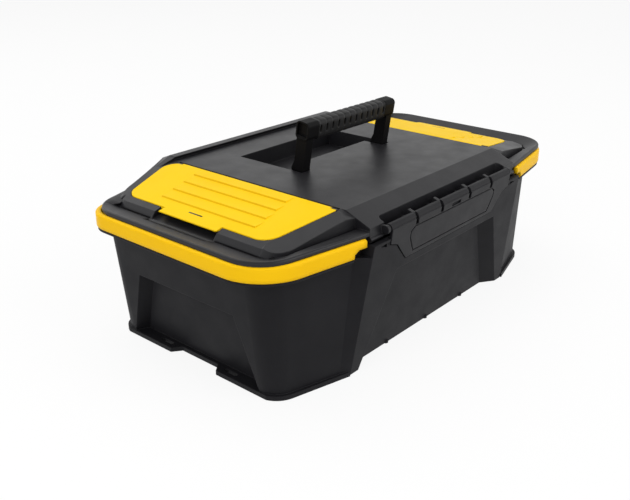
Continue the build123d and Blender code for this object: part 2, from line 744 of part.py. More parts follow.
def make_lid():
    """Lid moulding with organizer bins, handle pocket, latch notch and hinge barrels."""
    outer = lid_form(LID_BOTTOM, 0)
    lid = outer - lid_form(LID_BOTTOM - 20, LID_WALL)
    leg_low = HANDLE_HALF_X - LEG_X - 0.8
    half = POCKET_HALF_X + LID_WALL
    floor = POCKET_FLOOR - LID_WALL
    rear = POCKET_REAR_Y + LID_WALL
    pocket = box(-half, half, POCKET_FRONT_Y - LID_WALL, rear, floor, LID_TOP - 0.5)
    leg_front = LEG_SLOT_FRONT_Y - LID_WALL
    pocket += both_ends(box(leg_low - 4, half, leg_front, POCKET_FRONT_Y, floor, LID_TOP - 0.5))
    notch_block = box(-NOTCH_HALF_X - 4, NOTCH_HALF_X + 4, -BLOCK_Y, -NOTCH_BACK_Y + 3, LID_BOTTOM, 170)
    tab_y = (ORG_TAB_Y - ORG_TAB_HALF - 3.5, ORG_TAB_Y + ORG_TAB_HALF + 3.5)
    tab_block = box(ORG_OUTER_X - 6, 256, *tab_y, GROOVE_FLOOR - LID_WALL, 165)
    lid += both_ends(tab_block & outer)
    bins = both_ends(organizer_body())
    hung = outer + box(-250, 250, -140, 140, BIN_FLOOR - BIN_SKIN - 1, LID_BOTTOM)
    lid += bins & hung
    lid += pocket
    lid += notch_block & outer
    seat, well, tab, trough = organizer_cuts()
    lid -= both_ends(seat)
    lid -= both_ends(well)
    lid -= both_ends(tab)
    lid -= both_ends(trough)
    lid += both_ends(bin_rails())
    lugs = organizer_lugs()
    for y0, y1 in lugs:
        lid += both_ends(rod_y(y0, y1, ORG_AXIS_X, organizer_axis_z(), ORG_LUG_R))
    pin_room = rod_y(lugs[0][0] - 1, lugs[1][1], ORG_AXIS_X, organizer_axis_z(), 1.3 + FIXED)
    lid -= both_ends(pin_room)
    lid -= box(-POCKET_HALF_X, POCKET_HALF_X, POCKET_FRONT_Y, POCKET_REAR_Y, POCKET_FLOOR, 200)
    slot = box(leg_low, POCKET_HALF_X, LEG_SLOT_FRONT_Y, POCKET_FRONT_Y + 1, POCKET_FLOOR, 200)
    lid -= both_ends(slot)
    pin_hole = rod_x(leg_low - 3, half - 0.5, HANDLE_AXIS_Y, HANDLE_AXIS_Z, HANDLE_PIN_R + FIXED)
    lid -= both_ends(pin_hole)
    notch = box(-NOTCH_HALF_X, NOTCH_HALF_X, -BLOCK_Y - 15, -NOTCH_BACK_Y, LID_BOTTOM - 1, 190)
    lid -= fillet(notch.edges().filter_by(Axis.Z).group_by(Axis.Y)[-1], NOTCH_ROUND)
    lid += both_ends(rod_x(NOTCH_HALF_X, LID_MID_X, -BLOCK_Y, BAR_Z, BAR_R))
    for x in RIB_X:
        rib = side_prism(
            [(-NOTCH_BACK_Y + 1, 149), (LATCH_AXIS_Y, 151.5), (LATCH_AXIS_Y - 3, 157),
             (LATCH_AXIS_Y, 162), (LATCH_AXIS_Y + 6, 164), (LATCH_AXIS_Y + 8, 157), (-NOTCH_BACK_Y + 1, 154)],
            x - RIB_WIDTH / 2, x + RIB_WIDTH / 2,
        )
        lid += both_ends(rib)
    lug_x = (NOTCH_HALF_X, NOTCH_HALF_X + 4)
    ear = rod_x(*lug_x, LATCH_AXIS_Y, LATCH_AXIS_Z, LATCH_BARREL_R - 0.4)
    ear += box(*lug_x, LATCH_AXIS_Y, -BLOCK_Y + 1, LATCH_AXIS_Z - 4, LATCH_AXIS_Z + 4)
    lid += both_ends(ear)
    lid -= rod_x(-NOTCH_HALF_X - 3, NOTCH_HALF_X + 3, LATCH_AXIS_Y, LATCH_AXIS_Z, LATCH_PIN_R + FIXED)
    for lid_span, tub_spans in hinge_spans():
        for x0, x1 in tub_spans:
            x0, x1 = x0 - HINGE_SIDE_GAP, x1 + HINGE_SIDE_GAP
            lid -= hinge_room(x0, x1)
            lid -= box(x0, x1, HINGE_Y - HINGE_BARREL_R - 0.6, HINGE_Y + 10, LID_BOTTOM - 1, HINGE_Z)
        x0, x1 = lid_span
        arm = [
            (HINGE_Y + HINGE_BARREL_R, HINGE_Z),
            (HINGE_Y + HINGE_BARREL_R, HINGE_Z + 2),
            (BLOCK_Y, BLOCK_REAR_Z - 3),
            (BLOCK_Y - 2, BLOCK_REAR_Z - 3),
            (BLOCK_Y - 2, HINGE_Z),
        ]
        lid += side_prism(arm, x0, x1) + rod_x(x0, x1, HINGE_Y, HINGE_Z, HINGE_BARREL_R)
        lid -= rod_x(x0 - 1, x1 + 1, HINGE_Y, HINGE_Z, HINGE_PIN_R + RUNNING)
    return lid


def make_latch():
    """Wide front latch: five barrels on one plate with a groove round its bare panel."""
    plate = end_prism(latch_outline(0), -200, -120) & latch_slab(0, LATCH_PLATE, 100, 170)
    outer = list(LABEL_OUTLINE)
    inner = [(x - LABEL_GROOVE, z + math.copysign(LABEL_GROOVE, LATCH_SHOULDER_Z - z)) for x, z in outer]
    ring = end_prism(outer + [(-x, z) for x, z in reversed(outer)], -200, -120)
    ring -= end_prism(inner + [(-x, z) for x, z in reversed(inner)], -200, -120)
    latch = plate - (ring & latch_slab(-5, LABEL_DEPTH, 100, 170))
    latch += rod_x(-LATCH_HALF_X, LATCH_HALF_X, LATCH_AXIS_Y, LATCH_AXIS_Z, LATCH_BARREL_R)
    for x in RIB_X:
        half = RIB_WIDTH / 2 + 0.5
        gap = box(x - half, x + half, LATCH_AXIS_Y - 12, LATCH_AXIS_Y + 8, LATCH_AXIS_Z - 7, 170)
        latch -= both_ends(gap)
    latch -= box(-9, 9, -180, LATCH_AXIS_Y - 3, 150.5, 154.5)
    return latch - rod_x(-130, 130, LATCH_AXIS_Y, LATCH_AXIS_Z, LATCH_PIN_R + RUNNING)


def lean(shape):
    """Turn a piece of the upright handle to its resting lean against the stop."""
    axis = Axis((0, HANDLE_AXIS_Y, HANDLE_AXIS_Z), (1, 0, 0))
    return shape.rotate(axis, HANDLE_LEAN_DEG)


def handle_space(x0, x1, y_half, low, high):
    """Box in the handle's own frame, measured from its pivot."""
    y, z = HANDLE_AXIS_Y, HANDLE_AXIS_Z
    return box(x0, x1, y - y_half, y + y_half, z + low, z + high)


def make_handle_frame():
    """Handle legs and the core bar inside the grip."""
    inner_x = HANDLE_HALF_X - LEG_X
    outer_x = HANDLE_HALF_X - LEG_SET_IN
    leg = handle_space(inner_x, outer_x, LEG_Y / 2, 0, GRIP_LOW + 4)
    leg += rod_x(inner_x, outer_x, HANDLE_AXIS_Y, HANDLE_AXIS_Z, LEG_Y / 2)
    heel = [(0, 4), (LEG_Y / 2 + LEG_FLARE, 8), (LEG_Y / 2 + LEG_FLARE, 11), (LEG_Y / 2, 20), (0, 20)]
    leg += side_prism([(HANDLE_AXIS_Y + y, HANDLE_AXIS_Z + z) for y, z in heel], inner_x, outer_x)
    end = handle_space(SLEEVE_HALF_X, HANDLE_HALF_X, GRIP_DEPTH / 2, GRIP_LOW, GRIP_HIGH)
    end = fillet(end.edges().filter_by(Axis.X), GRIP_ROUND)
    cup_x = (HANDLE_HALF_X - END_CUP_DEPTH, HANDLE_HALF_X + 1)
    cup = handle_space(*cup_x, GRIP_DEPTH / 2 - END_CUP, GRIP_LOW + END_CUP, GRIP_HIGH - END_CUP)
    end -= fillet(cup.edges().filter_by(Axis.X), GRIP_ROUND - END_CUP)
    frame = both_ends(leg + end)
    core_y = GRIP_DEPTH / 2 - CORE_INSET
    core = handle_space(-70, 70, core_y, GRIP_LOW + CORE_INSET, GRIP_HIGH - CORE_INSET)
    frame += core
    frame -= rod_x(-100, 100, HANDLE_AXIS_Y, HANDLE_AXIS_Z, HANDLE_PIN_R + RUNNING)
    return lean(frame)


def make_handle_grip():
    """Ribbed sleeve round the core bar."""
    sleeve = handle_space(-SLEEVE_HALF_X, SLEEVE_HALF_X, GRIP_DEPTH / 2 - 1, GRIP_LOW + 1, GRIP_HIGH - 1)
    sleeve = chamfer(sleeve.edges().filter_by(Axis.X), GRIP_CHAMFER)
    pitch = 2 * SLEEVE_HALF_X / GRIP_RIBS
    for index in range(GRIP_RIBS):
        x = -SLEEVE_HALF_X + (index + 0.2) * pitch
        rib = handle_space(x, x + pitch * 0.6, GRIP_DEPTH / 2, GRIP_LOW, GRIP_HIGH)
        sleeve += chamfer(rib.edges().filter_by(Axis.X), GRIP_CHAMFER)
    core_y = GRIP_DEPTH / 2 - CORE_INSET
    sleeve -= handle_space(-80, 80, core_y, GRIP_LOW + CORE_INSET, GRIP_HIGH - CORE_INSET)
    return lean(sleeve)


def make_handle_pin():
    """Right pivot pin of the handle."""
    inner_x = HANDLE_HALF_X - LEG_X - 3.3
    return rod_x(inner_x, POCKET_HALF_X + 1.6, HANDLE_AXIS_Y, HANDLE_AXIS_Z, HANDLE_PIN_R)


def tray_form(low, high, inset):
    """Drafted form of the tray, drawn in from its outer wall."""
    sections = []
    for z, draft, radius in ((low, TRAY_DRAFT, 12), (high, 0, 14)):
        x = TRAY_HALF_X - draft - inset
        y = TRAY_HALF_Y - draft - inset
        sections.append(Pos(0, 0, z) * RectangleRounded(2 * x, 2 * y, radius - inset))
    return loft(sections, ruled=True)


def tray_hollow(inset):
    """Inside of the tray."""
    return tray_form(TRAY_BOTTOM + TRAY_WALL, TRAY_TOP + 1, TRAY_WALL + inset)


def make_tray():
    """Lift-out tray with ears that sit on the end ledges and a centre carry handle."""
    ears = box(-TRAY_EAR_X, TRAY_EAR_X, -TRAY_EAR_Y, TRAY_EAR_Y, TRAY_LEDGE, TRAY_LEDGE + 3)
    tray = tray_form(TRAY_BOTTOM, TRAY_TOP, 0) + fillet(ears.edges().filter_by(Axis.Z), 6)
    half = TRAY_WALL / 2
    inside = box(-TRAY_HALF_X, TRAY_HALF_X, -half, half, TRAY_BOTTOM, TRAY_TOP - 6)
    for x in (-TRAY_DIVIDER_X, TRAY_DIVIDER_X):
        for x0, x1 in rails(x):
            inside += box(x0, x1, 0, half + 3, TRAY_BOTTOM, TRAY_TOP - 9)
            inside += box(x0, x1, TRAY_HALF_Y - 11, TRAY_HALF_Y, TRAY_BOTTOM, TRAY_TOP - 9)
    hollow = tray_hollow(0)
    return tray - hollow + (inside & tray_form(TRAY_BOTTOM, TRAY_TOP, 1)) + side_grip()


def make_tray_dividers():
    """The two loose dividers behind the tray's middle web."""
    dividers = []
    room = tray_hollow(DIVIDER_GAP)
    for x in (-TRAY_DIVIDER_X, TRAY_DIVIDER_X):
        half = DIVIDER / 2
        near = TRAY_WALL / 2 + DIVIDER_GAP
        low = TRAY_BOTTOM + TRAY_WALL + 0.1
        dividers.append(box(x - half, x + half, near, TRAY_HALF_Y, low, TRAY_TOP - 6) & room)
    return dividers[0] + dividers[1]


def side_grip():
    """Carry handle standing on the tray's middle web."""
    half = TRAY_HANDLE_HALF
    foot = half + 12
    outer = [(-foot, TRAY_BOTTOM + 1), (-half, TRAY_HANDLE_TOP), (half, TRAY_HANDLE_TOP), (foot, TRAY_BOTTOM + 1)]
    plate = end_prism(outer, -5, 5)
    window = box(-half + 6, half - 6, -10, 10, TRAY_TOP - 2, TRAY_HANDLE_TOP - 14)
    plate -= fillet(window.edges().filter_by(Axis.Y), 8)
    return fillet(plate.edges().filter_by(Axis.X).group_by(Axis.Z)[-1], 4)


def export_all():
    """Write every piece to its own file."""
    organizer = make_organizer_lid()
    organizer_pins = make_organizer_pins()
    bin_divider = make_bin_divider()
    handle_pin = make_handle_pin()
    reach = HINGE_LID_HALF + HINGE_SIDE_GAP + HINGE_TUB_LENGTH - 0.5
    pieces = {
        "tub": make_tub(),
        "rim_band_left": make_band(-1),
        "rim_band_right": make_band(1),
        "lid": make_lid(),
        "organizer_lid_left": organizer.mirror(Plane.YZ),
        "organizer_lid_right": organizer,
        "organizer_pins_left": organizer_pins.mirror(Plane.YZ),
        "organizer_pins_right": organizer_pins,
        "bin_divider_left": bin_divider.mirror(Plane.YZ),
        "bin_divider_right": bin_divider,
        "front_latch": make_latch(),
        "latch_pin": rod_x(-NOTCH_HALF_X - 2.5, NOTCH_HALF_X + 2.5, LATCH_AXIS_Y, LATCH_AXIS_Z, LATCH_PIN_R),
        "handle_frame": make_handle_frame(),
        "handle_grip": make_handle_grip(),
        "handle_pin_left": handle_pin.mirror(Plane.YZ),
        "handle_pin_right": handle_pin,
        "lid_hinge_pin_left": rod_x(-HINGE_X - reach, -HINGE_X + reach, HINGE_Y, HINGE_Z, HINGE_PIN_R),
        "lid_hinge_pin_right": rod_x(HINGE_X - reach, HINGE_X + reach, HINGE_Y, HINGE_Z, HINGE_PIN_R),
        "tray": make_tray(),
        "tray_dividers": make_tray_dividers(),
    }
    for name, piece in pieces.items():
        export_step(piece, f"parts/{name}.step")


export_all()
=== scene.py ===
"""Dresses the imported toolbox: moulded plastic, yellow trim, steel pins and a plain studio."""

import logging
import math
from dataclasses import dataclass, field
from enum import Enum
from typing import Callable, Dict, List, Optional, Sequence, Tuple

import bmesh
import bpy
import numpy as np
from mathutils import Matrix, Vector


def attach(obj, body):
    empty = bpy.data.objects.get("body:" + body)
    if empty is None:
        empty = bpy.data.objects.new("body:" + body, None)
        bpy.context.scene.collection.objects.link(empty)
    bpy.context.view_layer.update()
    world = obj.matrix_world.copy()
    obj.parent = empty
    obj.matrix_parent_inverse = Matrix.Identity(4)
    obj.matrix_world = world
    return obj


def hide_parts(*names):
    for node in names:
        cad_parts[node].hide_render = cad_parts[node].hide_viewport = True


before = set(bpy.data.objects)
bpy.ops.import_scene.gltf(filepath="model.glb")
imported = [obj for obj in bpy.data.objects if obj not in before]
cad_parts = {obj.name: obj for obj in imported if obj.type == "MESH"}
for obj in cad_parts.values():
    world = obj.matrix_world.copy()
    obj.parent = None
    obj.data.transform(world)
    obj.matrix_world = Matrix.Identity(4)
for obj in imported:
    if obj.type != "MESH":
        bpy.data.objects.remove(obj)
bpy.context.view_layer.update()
MM = 0.001
MERGE_WITHIN = 0.01 * MM
FINE_CREASE = 8.5
LID_TOP = 175.0
SLOPE_START = 144.0
SLOPE = math.tan(math.radians(9.0))
log = logging.getLogger("toolbox")

Colour = Tuple[float, float, float]


class Body(Enum):
    """The moving bodies that new pieces ride on."""

    LID = "lid"
    LEFT_FLAP = "organizer_left"
    RIGHT_FLAP = "organizer_right"
    HANDLE = "handle"


class Brushing(Enum):
    """Axis that a steel pin is drawn along, as the stretch of its brushed lines."""

    ALONG_X = (40.0, 2600.0, 2600.0)
    ALONG_Y = (2600.0, 40.0, 2600.0)


class Graph:
    """Adds nodes to one node tree and links them."""

    def __init__(self, tree: bpy.types.NodeTree) -> None:
        """Starts from an empty tree."""
        self.tree = tree
        tree.nodes.clear()

    def add(self, kind: str, inputs: Optional[Dict[str, object]] = None, **settings: object) -> bpy.types.Node:
        """Adds one node.

        Args:
            kind: Blender's node type name.
            inputs: values or source sockets by input name.
            settings: attributes of the node.

        Returns:
            The new node.
        """
        node = self.tree.nodes.new(kind)
        for name, value in settings.items():
            setattr(node, name, value)
        for name, value in (inputs or {}).items():
            if isinstance(value, bpy.types.NodeSocket):
                self.tree.links.new(value, node.inputs[name])
            else:
                node.inputs[name].default_value = value
        return node

    def link(self, source: bpy.types.NodeSocket, target: bpy.types.NodeSocket) -> None:
        """Links two sockets."""
        self.tree.links.new(source, target)

    def spread(
        self, value: bpy.types.NodeSocket, source: Tuple[float, float], target: Tuple[float, float]
    ) -> bpy.types.NodeSocket:
        """Maps a value from one range to another, clamped.

        Args:
            value: the socket to map.
            source: the range it comes from.
            target: the range it goes to.

        Returns:
            The result's socket.
        """
        names = ("From Min", "From Max", "To Min", "To Max")
        sizes = dict(zip(names, (*source, *target)))
        return self.add("ShaderNodeMapRange", {"Value": value, **sizes}).outputs["Result"]

    def noise(self, place: bpy.types.NodeSocket, scale: float, detail: float) -> bpy.types.NodeSocket:
        """Adds a noise texture and returns its value's socket."""
        settings = {"Vector": place, "Scale": scale, "Detail": detail, "Roughness": 0.55}
        return self.add("ShaderNodeTexNoise", settings).outputs[0]

    def blend(self, share: bpy.types.NodeSocket, first: object, second: object) -> bpy.types.NodeSocket:
        """Mixes two colours.

        Args:
            share: how much of the second colour shows.
            first: a colour or a socket.
            second: a colour or a socket.

        Returns:
            The result's socket.
        """
        mix = self.add("ShaderNodeMix", data_type="RGBA")
        self.link(share, mix.inputs[0])
        for socket, colour in ((mix.inputs[6], first), (mix.inputs[7], second)):
            if isinstance(colour, bpy.types.NodeSocket):
                self.link(colour, socket)
            else:
                socket.default_value = (*colour, 1.0)
        return mix.outputs[2]


@dataclass(frozen=True)
class MouldedPlastic:
    """Injection-moulded plastic with a fine grain, drifting tone and softened edges in a lighter colour, partly wear
    and partly painted sheen.
    """

    name: str
    colour: Colour
    drift: Colour
    # the lighter colour at the edges: partly wear, partly a painted sheen where the edges catch the light
    wear_and_sheen: Colour
    roughness: Tuple[float, float]
    specular: float = 0.3
    grain: float = 0.45
    depth: float = 0.05
    edge: float = 0.7
    # how much of the lighter edge colour shows: wear and painted sheen
    wear_and_sheen_share: float = 0.35
    edge_turn: Tuple[float, float] = (0.985, 0.86)
    patch_scale: float = 70.0
    cloud_scale: float = 16.0
    gloss_scale: float = 38.0

    def material(self) -> bpy.types.Material:
        """Builds the material.

        Returns:
            A material whose colour, roughness and bump all vary on Object coordinates.
        """
        made = bpy.data.materials.new(self.name)
        made.use_nodes = True
        graph = Graph(made.node_tree)
        place = graph.add("ShaderNodeTexCoord").outputs["Object"]
        soft = graph.add("ShaderNodeBevel", {"Radius": self.edge * MM}, samples=8)
        flat = graph.add("ShaderNodeNewGeometry").outputs["Normal"]
        turn = graph.add("ShaderNodeVectorMath", operation="DOT_PRODUCT")
        graph.link(soft.outputs[0], turn.inputs[0])
        graph.link(flat, turn.inputs[1])
        # mask of the edges, where the softened normal turns from the flat one; the lighter colour it brings is
        # partly wear, partly painted sheen
        edges = graph.spread(turn.outputs["Value"], self.edge_turn, (0.0, self.wear_and_sheen_share))
        patches = graph.spread(graph.noise(place, self.patch_scale, 4.0), (0.38, 0.62), (0.25, 1.0))
        wear_and_sheen_mask = graph.add("ShaderNodeMath", operation="MULTIPLY")
        graph.link(edges, wear_and_sheen_mask.inputs[0])
        graph.link(patches, wear_and_sheen_mask.inputs[1])
        clouds = graph.spread(graph.noise(place, self.cloud_scale, 3.0), (0.35, 0.65), (0.0, 1.0))
        tone = graph.blend(clouds, self.colour, self.drift)
        tone_with_wear_and_sheen = graph.blend(wear_and_sheen_mask.outputs[0], tone, self.wear_and_sheen)
        fine = graph.noise(place, 1.0 / (self.grain * MM), 2.0)
        bump = graph.add(
            "ShaderNodeBump",
            {"Strength": 0.5, "Distance": self.depth * MM, "Height": fine, "Normal": soft.outputs[0]},
        )
        gloss = graph.spread(graph.noise(place, self.gloss_scale, 3.0), (0.3, 0.7), self.roughness)
        shader = graph.add(
            "ShaderNodeBsdfPrincipled",
            {"Base Color": tone_with_wear_and_sheen, "Roughness": gloss, "Normal": bump.outputs[0]},
        )
        shader.inputs["Specular IOR Level"].default_value = self.specular
        output = graph.add("ShaderNodeOutputMaterial")
        graph.link(shader.outputs[0], output.inputs["Surface"])
        return made


@dataclass(frozen=True)
class DrawnSteel:
    """Plain steel wire with fine lines along its length."""

    name: str
    brushing: Brushing
    colour: Colour = (0.55, 0.55, 0.56)
    roughness: Tuple[float, float] = (0.22, 0.42)
    shade: float = 0.82

    def material(self) -> bpy.types.Material:
        """Builds the material.

        Returns:
            A metal whose roughness follows noise stretched along the pin.
        """
        made = bpy.data.materials.new(self.name)
        made.use_nodes = True
        graph = Graph(made.node_tree)
        place = graph.add("ShaderNodeTexCoord").outputs["Object"]
        drawn = graph.add("ShaderNodeMapping", {"Vector": place, "Scale": self.brushing.value})
        lines = graph.noise(drawn.outputs[0], 1.0, 3.0)
        gloss = graph.spread(lines, (0.3, 0.7), self.roughness)
        tone = graph.blend(lines, self.colour, tuple(self.shade * part for part in self.colour))
        bump = graph.add("ShaderNodeBump", {"Strength": 0.2, "Distance": 0.02 * MM, "Height": lines})
        shader = graph.add(
            "ShaderNodeBsdfPrincipled",
            {"Base Color": tone, "Roughness": gloss, "Normal": bump.outputs[0]},
        )
        shader.inputs["Metallic"].default_value = 1.0
        output = graph.add("ShaderNodeOutputMaterial")
        graph.link(shader.outputs[0], output.inputs["Surface"])
        return made


class Finishes:
    """The finishes of the box, each made once."""

    def __init__(self) -> None:
        """Makes every material."""
        black = {"colour": (0.0098, 0.0096, 0.0112), "drift": (0.0122, 0.012, 0.0138)}
        # lighter edge colour of the black plastics: partly wear, partly painted sheen
        soft = {"wear_and_sheen": (0.036, 0.036, 0.039), "edge": 1.1}
        self.tub = MouldedPlastic("tub_black", **black, **soft, specular=0.11, roughness=(0.46, 0.56)).material()
        self.lid = MouldedPlastic("lid_black", **black, **soft, specular=0.3, roughness=(0.36, 0.45)).material()
        self.latch = MouldedPlastic("latch_black", **black, **soft, specular=0.17, roughness=(0.42, 0.52)).material()
        self.tray = MouldedPlastic("tray_black", **black, **soft, specular=0.2, roughness=(0.5, 0.6)).material()
        self.handle = MouldedPlastic(
            name="handle_black",
            colour=(0.003, 0.0029, 0.0032),
            drift=(0.004, 0.0039, 0.0042),
            wear_and_sheen=(0.014, 0.014, 0.015),
            roughness=(0.42, 0.52),
            specular=0.08,
            edge=1.1,
        ).material()
        self.grip = MouldedPlastic(
            name="grip_black",
            colour=(0.0068, 0.0067, 0.007),
            drift=(0.0088, 0.0087, 0.009),
            wear_and_sheen=(0.026, 0.026, 0.027),
            roughness=(0.44, 0.55),
            specular=0.24,
            grain=0.6,
        ).material()
        # The band and the flaps are one yellow plastic: the band's colour is painted darker and more orange, as
        # shade on its upright sides, and the flap colour further down is the lit copy for the top faces. The band's
        # 7 mm edge spreads the lighter edge colour over its rounded edges as a painted highlight.
        self.band = MouldedPlastic(
            name="band_yellow_painted_shade",
            colour=(0.95, 0.545, 0.005),
            drift=(0.96, 0.565, 0.006),
            wear_and_sheen=(0.97, 0.64, 0.02),
            roughness=(0.36, 0.44),
            specular=0.06,
            grain=0.5,
            depth=0.03,
            edge=7.0,
            wear_and_sheen_share=0.15,
        ).material()
        # the lit copy of the band's yellow, for the flaps' top faces
        self.flap = MouldedPlastic(
            name="flap_yellow",
            colour=(0.95, 0.6, 0.006),
            drift=(0.96, 0.625, 0.008),
            wear_and_sheen=(0.97, 0.68, 0.03),
            roughness=(0.4, 0.48),
            specular=0.05,
            grain=0.5,
            depth=0.03,
            edge=0.8,
        ).material()
        # a darker copy of the flap's yellow: painted shade for the rib step faces
        self.step = MouldedPlastic(
            name="flap_step_painted_shade",
            colour=(0.74, 0.42, 0.003),
            drift=(0.77, 0.45, 0.004),
            wear_and_sheen=(0.8, 0.48, 0.01),
            roughness=(0.44, 0.52),
            specular=0.03,
            grain=0.5,
            depth=0.03,
            wear_and_sheen_share=0.1,
        ).material()
        self.pin_x = DrawnSteel("steel_along_x", Brushing.ALONG_X).material()
        self.pin_y = DrawnSteel("steel_along_y", Brushing.ALONG_Y).material()


def dress(nodes: Sequence[str], material: bpy.types.Material) -> None:
    """Gives CAD nodes their finish.

    Args:
        nodes: names of the nodes.
        material: the finish.
    """
    for name in nodes:
        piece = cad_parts[name]
        piece.data.materials.clear()
        piece.data.materials.append(material)
        log.info("dressed %s with %s", name, material.name)


def tube_faces(rows: int, columns: int, flip: bool = False) -> List[np.ndarray]:
    """Faces of a ring of points carried along a path, with both ends capped.

    Each side face joins points c and c+1 of ring r with those of ring r+1; a ring's last point joins
    its first.

    Args:
        rows: number of rings.
        columns: points in each ring.
        flip: whether the faces turn the other way, for a mirrored shape.

    Returns:
        Vertex numbers of each face.
    """
    ring = np.arange(rows - 1)[:, None] * columns
    point = np.arange(columns)[None, :]
    after = (point + 1) % columns
    corners = [ring + point, ring + after, ring + columns + after, ring + columns + point]
    faces = [*np.stack(corners, -1).reshape(-1, 4)]
    faces += [np.arange(columns)[::-1], np.arange(columns) + (rows - 1) * columns]
    return [face[::-1] for face in faces] if flip else faces


def smooth(share: np.ndarray) -> np.ndarray:
    """Eases a share from 0 to 1: three times its square less twice its cube."""
    return share * share * (3.0 - 2.0 * share)


def sloping_top(out: np.ndarray) -> np.ndarray:
    """Height of the lid's ends at a distance from the middle: they fall evenly from the flat top."""
    return LID_TOP - (out - SLOPE_START) * SLOPE


def places(mesh: bpy.types.Mesh) -> np.ndarray:
    """Returns the places of a mesh's points in millimetres, three to a row."""
    points = np.empty(3 * len(mesh.vertices), np.float32)
    mesh.vertices.foreach_get("co", points)
    return points.reshape(-1, 3).astype(float) / MM


def add_piece(
    name: str,
    points: np.ndarray,
    faces: Sequence[np.ndarray],
    material: bpy.types.Material,
    body: Body,
) -> bpy.types.Object:
    """Adds a new piece at the origin that rides on a body.

    Args:
        name: the piece's name.
        points: vertex places in millimetres.
        faces: vertex numbers of each face.
        material: its finish.
        body: what it rides on.

    Returns:
        The new object, smooth shaded.
    """
    mesh = bpy.data.meshes.new(name)
    mesh.from_pydata((points * MM).tolist(), [], [list(face) for face in faces])
    mesh.polygons.foreach_set("use_smooth", np.ones(len(mesh.polygons), bool))
    mesh.materials.append(material)
    mesh.update()
    piece = bpy.data.objects.new(name, mesh)
    bpy.context.scene.collection.objects.link(piece)
    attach(piece, body.value)
    log.info("made %s with %d faces", name, len(mesh.polygons))
    return piece


def mark_creases(mesh: bpy.types.Mesh, degrees: float) -> None:
    """Marks the edges sharp where two faces turn by more than an angle, and drops stored normals.

    The two unit normals at an edge add up to a vector of squared length 2 + 2 cos(turn).

    Args:
        mesh: the mesh.
        degrees: the smallest turn that is marked.
    """
    stored = mesh.attributes.get("custom_normal")
    if stored:
        mesh.attributes.remove(stored)
    edge = np.empty(len(mesh.loops), np.int32)
    mesh.loops.foreach_get("edge_index", edge)
    normal = np.empty(3 * len(mesh.polygons), np.float32)
    mesh.polygons.foreach_get("normal", normal)
    corners = np.empty(len(mesh.polygons), np.int32)
    mesh.polygons.foreach_get("loop_total", corners)
    total = np.zeros((len(mesh.edges), 3))
    np.add.at(total, edge, np.repeat(normal.reshape(-1, 3), corners, axis=0))
    turn = (total * total).sum(1) / 2.0 - 1.0
    mesh.edges.foreach_set("use_edge_sharp", turn < math.cos(math.radians(degrees)))


def reshape(
    node: str,
    name: str,
    move: Callable[[np.ndarray], np.ndarray],
    material: bpy.types.Material,
    body: Body,
) -> bpy.types.Object:
    """Replaces a CAD node by a merged copy of it with some points moved.

    Args:
        node: the CAD node.
        name: the copy's name.
        move: gives the new places of all points, in millimetres.
        material: its finish.
        body: what it rides on.

    Returns:
        The copy.
    """
    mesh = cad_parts[node].data.copy()
    mesh.name = name
    merged = bmesh.new()
    merged.from_mesh(mesh)
    bmesh.ops.remove_doubles(merged, verts=merged.verts, dist=MERGE_WITHIN)
    merged.to_mesh(mesh)
    merged.free()
    moved = move(places(mesh)) * MM
    mesh.vertices.foreach_set("co", moved.astype(np.float32).ravel())
    mesh.polygons.foreach_set("use_smooth", np.ones(len(mesh.polygons), bool))
    mesh.materials.clear()
    mesh.materials.append(material)
    mesh.update()
    mark_creases(mesh, FINE_CREASE)
    piece = bpy.data.objects.new(name, mesh)
    bpy.context.scene.collection.objects.link(piece)
    evened = piece.modifiers.new("even_normals", "WEIGHTED_NORMAL")
    evened.keep_sharp = True
    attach(piece, body.value)
    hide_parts(node)
    log.info("reshaped %s as %s, %d points", node, name, len(mesh.vertices))
    return piece


@dataclass
class Tub:
    """The black tub with its yellow bands and hinge pins."""

    finishes: Finishes

    def dress(self) -> None:
        """Gives the tub, bands and pins their finishes."""
        dress(["tub"], self.finishes.tub)
        dress(["rim_band_left", "rim_band_right"], self.finishes.band)
        dress(["lid_hinge_pin_left", "lid_hinge_pin_right"], self.finishes.pin_x)


